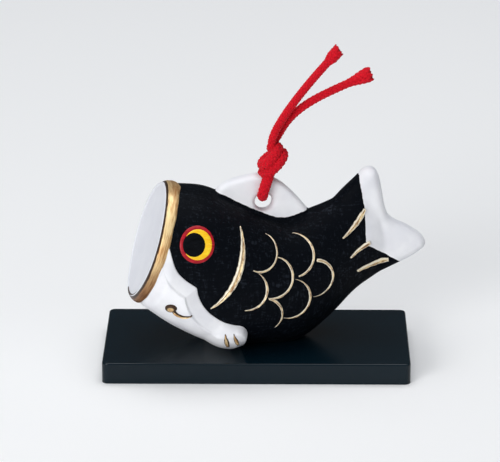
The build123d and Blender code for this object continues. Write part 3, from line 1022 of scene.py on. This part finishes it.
JAW_EDGE = [
    (-37.4, 50.0), (-36.6, 46.3), (-34.4, 38.5), (-31.2, 34.3), (-26.4, 30.6), (-25.8, 27.3),
    (-24.1, 23.1), (-21.1, 19.0), (-16.2, 15.1), (-11.8, 13.3), (-8.0, 12.2), (-6.1, 8.9), (-6.6, 4.4),
    (-8.5, 0.0), (-12.0, -3.0),
]
JAW_CLOSE = [(-12.0, -8.0), (-60.0, -8.0), (-60.0, 50.0)]
JAW_EDGE_HEIGHT = 0.3
JAW_BEVEL_RISE = 2.3
JAW_STEP = 0.9
JAW_BEVEL = 4.3
JAW_BEVEL_END = -9.0  # the bevel runs out here, where the arm to the fin begins
JAW_BEVEL_FADE = 9.0  # and narrows over this far ahead of it
JAW_SECTIONS = (0.35, 4.0)  # the jaw lies between these sections
JAW_TURN = 0.28  # it starts this share of a half turn from the top, on each side
JAW_THICKNESS = 1.2  # how far it reaches in below the skin
BEHIND_BAND = 3.2  # it rises to its full height over this far behind the band
SLOT_MARGIN = 0.1
LOBE_CENTRE = (-13.0, 6.0)
LOBE_REACH = 9.0
LOBE_HEIGHT = 1.9


def jaw_outline():
    corner = JAW_EDGE.index((-26.4, 30.6))
    runs = [evenly_through(run, 8 * len(run)) for run in (JAW_EDGE[:corner + 1], JAW_EDGE[corner:])]
    return np.vstack([*runs, JAW_CLOSE])


def jaw_height(depth, s, z, u, turn):
    """How far the jaw stands above the skin, at a depth in from its edge."""
    bevel = JAW_BEVEL * np.clip((JAW_BEVEL_END - s) / JAW_BEVEL_FADE, 0.12, 1)
    fold = np.minimum(turn, 2 * math.pi - turn) / math.pi
    behind_band = u * MM_PER_SECTION - band_width(fold)
    full = eased(behind_band / BEHIND_BAND) * 0.86 + 0.14
    full = full * (0.15 + 0.85 * eased((0.90 - fold) / 0.26))
    edge = np.clip((depth + 0.35) / 0.4, 0, 1)
    rise = np.clip(depth / bevel, 0, 1)
    crease = eased((depth - bevel) / 0.40)
    away = np.hypot(s - LOBE_CENTRE[0], z - LOBE_CENTRE[1]) / LOBE_REACH
    lobe = LOBE_HEIGHT * np.clip(1 - away**2, 0, 1) ** 1.2 * np.clip(depth / JAW_BEVEL, 0, 1) ** 0.7
    raised = JAW_BEVEL_RISE * rise + JAW_STEP * crease
    return -0.7 + edge * (0.7 + JAW_EDGE_HEIGHT) + raised * full + lobe


def jaw():
    rows, columns = 200, 440
    u = np.repeat(np.linspace(*JAW_SECTIONS, rows)[:, None], columns, axis=1)
    turn = math.pi * np.linspace(JAW_TURN, 2 - JAW_TURN, columns)[None, :] + 0 * u
    s, z, side = skin(u, turn)
    depth = signed_distance(np.stack([s.ravel(), z.ravel()], axis=1), jaw_outline()).reshape(s.shape)
    height = jaw_height(depth, s, z, u, turn)
    under_gap = 0.02
    base = place(s, z, side)
    normal = np.cross(np.gradient(base, axis=0), np.gradient(base, axis=1))
    normal /= np.linalg.norm(normal, axis=2)[..., None]
    flip = np.sign((normal * (base - place(0.0, 30.0, 0.0))).sum(axis=2).mean())
    points = base + flip * normal * (height * MM)[..., None]
    points[..., 2] = np.maximum(points[..., 2], BOARD_TOP + under_gap * MM + FOOT_GAP * MM)
    under = base - flip * normal * JAW_THICKNESS * MM
    under[..., 2] = np.maximum(under[..., 2], BOARD_TOP + 0.8 * MM)
    half = SLOT_LENGTH / 2 - SLOT_WIDTH / 2
    along_slot = np.maximum(np.abs(s - SLOT_CENTRE) - half, 0)
    over_slot = (np.hypot(along_slot, side) < SLOT_WIDTH / 2 + SLOT_MARGIN) & (z < 10)
    keep = (depth > -0.45) & ~over_slot
    faces = [f for f in grid_faces(rows, columns) if all(keep.ravel()[list(f)])]
    faces = shelled(faces, rows * columns)
    used = sorted({i for face in faces for i in face})
    number = {i: k for k, i in enumerate(used)}
    piece = closed_object("jaw_and_fins",
                          np.vstack([points.reshape(-1, 3), under.reshape(-1, 3)])[used],
                          [tuple(number[i] for i in face) for face in faces])
    shown(piece, white_slip, "bell", "white_slip", "jaw_relief")
    return piece


jaw_piece = jaw()
jaw_tree = tree_of(jaw_piece)

# ---- work laid on the flanks

BOTH_SIDES = (1, -1)
RAISED_DEPTH = 0.5  # raised work reaches this far in from its face
over_body = (body_tree,)
over_jaw = (body_tree, jaw_tree)


def on_surface(trees, s, z, side):
    """The outermost point and normal of the given surfaces at a place on one flank, or None."""
    best = None
    start = Vector(place(s, z, side * 60.0))
    for tree in trees:
        hit, normal, _, far = tree.ray_cast(start, Vector(-side * NEAR))
        if hit is not None and (best is None or far < best[2]):
            best = (hit, normal, far)
    return best


def laid_on(trees, s, z, side, height):
    """Places on a flank raised by a height in millimetres along the surface's normal."""
    points = np.zeros((len(s), 3))
    for i, (a, b, h) in enumerate(zip(s, z, height)):
        hit, normal, _ = on_surface(trees, a, b, side)
        points[i] = np.array(hit) + h * MM * np.array(normal)
    return points


def arc_through(start, way, end, count):
    """Points of the arc from start through way to end."""
    a, b, c = (complex(*p) for p in (start, way, end))
    ratio = (c - a) / (b - a)
    centre = a + (b - a) * (ratio - abs(ratio) ** 2) / (2j * ratio.imag)
    a0, a1, a2 = np.angle(np.array([a, b, c]) - centre)
    full = 2 * math.pi
    to_way, to_end = (a1 - a0) % full, (a2 - a0) % full
    sweep = to_end if to_way < to_end else to_end - full
    angle = a0 + sweep * np.linspace(0, 1, count)
    return centre.real + abs(a - centre) * np.cos(angle), centre.imag + abs(a - centre) * np.sin(angle)


def stroke_part(trees, s, z, side, widths, height, seed, ridge=0.35):
    """Points, faces and stroke values of one raised brush stroke, thin where its width is."""
    draw = np.random.default_rng(seed)
    count, across = len(s), 10
    run = np.concatenate([[0], np.cumsum(np.hypot(np.diff(s), np.diff(z)))])
    half = np.maximum(evenly_through(widths, count)[:, 0] / 2, 0.06)
    waves = sum(draw.uniform(0.02, 0.05) * np.sin(run * draw.uniform(1.0, 3.2) + draw.uniform(0, 6))
                for _ in range(4))
    half = half * (1 + waves)
    ds, dz = np.gradient(s), np.gradient(z)
    size = np.hypot(ds, dz)
    normal_s, normal_z = -dz / size, ds / size
    rows, tags = [], []
    groove = draw.uniform(-0.12, 0.12)
    left = np.minimum(run, run[-1] - run)
    end = np.clip(1 - left / 0.9, 0, 1)
    for k in range(across + 1):
        v = 2 * k / across - 1
        dome = math.sqrt(max(0.0, 1 - v * v))
        line = -ridge * math.cos(2 * math.pi * (v - groove)) * dome
        level = height * np.minimum(1, half / 0.45) * (dome * (1 - ridge) + line * 0.8)
        level = level * (1 + 0.16 * np.sin(run * 1.9 + 5 * v + draw.uniform(0, 6)))
        level = np.where(dome == 0, -0.25, level)
        rows.append(laid_on(trees, s + v * half * normal_s, z + v * half * normal_z, side, level))
        # The ends take the full level, so the dark rim of paint edge and painted shade closes round them.
        level_tag = np.sign(v + 1e-9) * np.maximum(abs(v), end)
        tags.append(np.stack([run + 20 * seed, v * half, level_tag], axis=1))
    return np.stack(rows, axis=1), np.stack(tags, axis=1)


def raised_piece(name, parts, material, slot, *nodes):
    """One closed object from grids of raised points. Each grid is (points, stroke values)."""
    points, faces, tags = [], [], []
    first = 0
    for top, tag in parts:
        rows, columns = top.shape[:2]
        flat = top.reshape(-1, 3)
        s, z, side = carp_places(flat)
        flank = 1 if side.mean() > 0 else -1
        out = np.array([on_surface(over_body, a, b, flank)[1] for a, b in zip(s, z)])
        back = flat - RAISED_DEPTH * MM * out
        points += [flat, back]
        tags += [tag.reshape(-1, 3)] * 2
        count = rows * columns
        faces += shelled(grid_faces(rows, columns, first=first), count)
        first += 2 * count
    piece = new_object(name, np.vstack(points), faces)
    add_values(piece, "stroke", np.vstack(tags))
    face_outwards(piece)
    shown(piece, material, "bell", slot, *nodes)


def strokes(name, lines, height, node, trees, material, per_stroke=56):
    parts = []
    for number, (start, way, end, widths) in enumerate(lines):
        s, z = arc_through(start, way, end, per_stroke)
        for side in BOTH_SIDES:
            parts.append(stroke_part(trees, s, z, side, widths, height, number + 1))
    raised_piece(name, parts, material, "gold_paint", node)


GILL = [((-8.4, 51.6), (-9.2, 37.5), (-21.0, 21.5), [0.3, 1.6, 2.6, 3.0, 3.0, 2.5, 1.6, 0.4])]
SCALES = [
    ((1.7, 47.5), (5.6, 40.2), (-4.2, 36.0), [0.1, 0.4, 0.7, 0.75, 0.8, 0.9, 0.4]),
    ((12.7, 46.1), (20.4, 38.5), (13.9, 31.5), [0.1, 0.5, 0.95, 1.1, 1.0, 1.0, 0.7]),
    ((5.9, 39.4), (11.6, 31.5), (1.6, 24.4), [0.3, 0.8, 1.05, 0.95, 0.9, 0.95, 0.3]),
    ((21.4, 36.6), (28.1, 28.8), (19.9, 22.3), [1.4, 1.35, 1.0, 0.7, 0.5, 0.12]),
    ((-2.1, 34.6), (0.9, 25.8), (-7.7, 20.0), [0.2, 0.7, 1.2, 1.1, 0.9, 0.7, 0.3]),
    ((12.6, 30.6), (18.2, 20.0), (7.9, 15.1), [0.1, 0.6, 1.1, 0.95, 0.75, 0.6, 0.2]),
    ((1.8, 24.2), (7.2, 18.5), (4.6, 10.8), [0.9, 1.3, 1.05, 0.75, 0.5, 0.15]),
]
TAIL_RAYS = [
    ((41.6, 53.8), (37.5, 48.1), (32.3, 43.4), [1.3, 2.3, 2.4, 1.9, 1.3, 0.6]),
    ((43.6, 40.4), (39.2, 38.3), (35.4, 35.3), [1.7, 2.1, 1.7, 1.3, 1.0, 0.6]),
    ((51.6, 31.8), (45.2, 31.0), (38.3, 29.1), [1.8, 2.4, 2.1, 1.7, 1.4, 0.6]),
]
FIN_MARKS = [
    ((-15.2, 10.2), (-14.7, 7.2), (-13.8, 4.2), [0.3, 1.2, 1.9, 2.0, 1.3]),
    ((-11.9, 10.2), (-11.1, 7.7), (-10.0, 5.2), [0.3, 1.0, 1.7, 1.7, 1.1]),
]
WHISKER = ((-35.2, 21.0), (-32.4, 18.8), (-28.6, 19.2), [1.7, 1.6, 1.4, 1.2, 1.0, 0.5])
BARBEL_DROP = (-36.3, 22.6)
BARBEL_DROP_SIZE = (2.3, 1.9)
strokes("gill_strokes", GILL, 0.9, "gill_lines", over_body, line_gold, 90)
strokes("scale_strokes", SCALES, 0.6, "scale_lines", over_body, line_gold)
strokes("tail_strokes", TAIL_RAYS, 0.95, "tail_rays", over_body, line_gold)
strokes("pectoral_strokes", FIN_MARKS, 0.7, "fin_marks", over_jaw, mark_gold)


def disc_part(trees, centre, radius, side, height, rim=0.18, rings=10, around=64, ratio=1.0):
    """A round patch whose edge is rounded over the width of its rim."""
    angle = np.linspace(0, 2 * math.pi, around + 1)
    rows, tags = [], []
    for k in range(rings + 1):
        share = k / rings
        at = radius * share
        level = height * math.sqrt(1 - (1 - min(1, (radius - at) / rim)) ** 2)
        level = -0.2 if k == rings else level
        s = centre[0] + max(at, 0.02) * np.cos(angle)
        z = centre[1] + max(at, 0.02) * np.sin(angle) * ratio
        rows.append(laid_on(trees, s, z, side, np.full(around + 1, level)))
        # The share outwards places a gold patch's dark rim of paint edge and painted shade.
        tags.append(np.stack([angle * at, np.full(around + 1, at), np.full(around + 1, share)], axis=1))
    return np.stack(rows, axis=0), np.stack(tags, axis=0)


def eyes():
    red_eye = matt_paint("eye_red", (0.50, 0.007, 0.022), (0.30, 0.003, 0.008), 0.42)
    yellow_eye = matt_paint("eye_yellow", (1.0, 0.70, 0.03), (1.0, 0.52, 0.006), 0.42)
    black_eye = matt_paint("eye_black", (0.0015, 0.002, 0.003), (0.004, 0.005, 0.007), 0.6, 1.15)
    layers = (
        ("eye_red_rings", (-25.9, 47.4), 7.1, 0.22, red_eye, "red_paint", "eye_rings"),
        ("eye_yellow_irises", (-25.7, 47.4), 5.95, 0.36, yellow_eye, "yellow_paint", "eye_irises"),
        ("eye_black_pupils", (-27.15, 47.5), 4.65, 0.50, black_eye, "black_slip", "eye_pupils"),
    )
    for name, centre, radius, height, material, slot, node in layers:
        parts = [disc_part(over_body, centre, radius, side, height) for side in BOTH_SIDES]
        raised_piece(name, parts, material, slot, node)


eyes()


def barbel_pieces():
    s, z = arc_through(*WHISKER[:3], 40)
    parts = [stroke_part(over_jaw, s, z, side, WHISKER[3], 0.8, 31) for side in BOTH_SIDES]
    width, tall = BARBEL_DROP_SIZE
    for side in BOTH_SIDES:
        parts.append(disc_part(over_jaw, BARBEL_DROP, width, side, 1.1, rim=2.0, ratio=tall / width))
    raised_piece("barbel_strokes", parts, mark_gold, "gold_paint", "barbels")


barbel_pieces()

# ---- board and pellet

for node, material in (("board", lacquer()), ("rattle_pellet", clay_material())):
    dress(frame["nodes"][node], material)
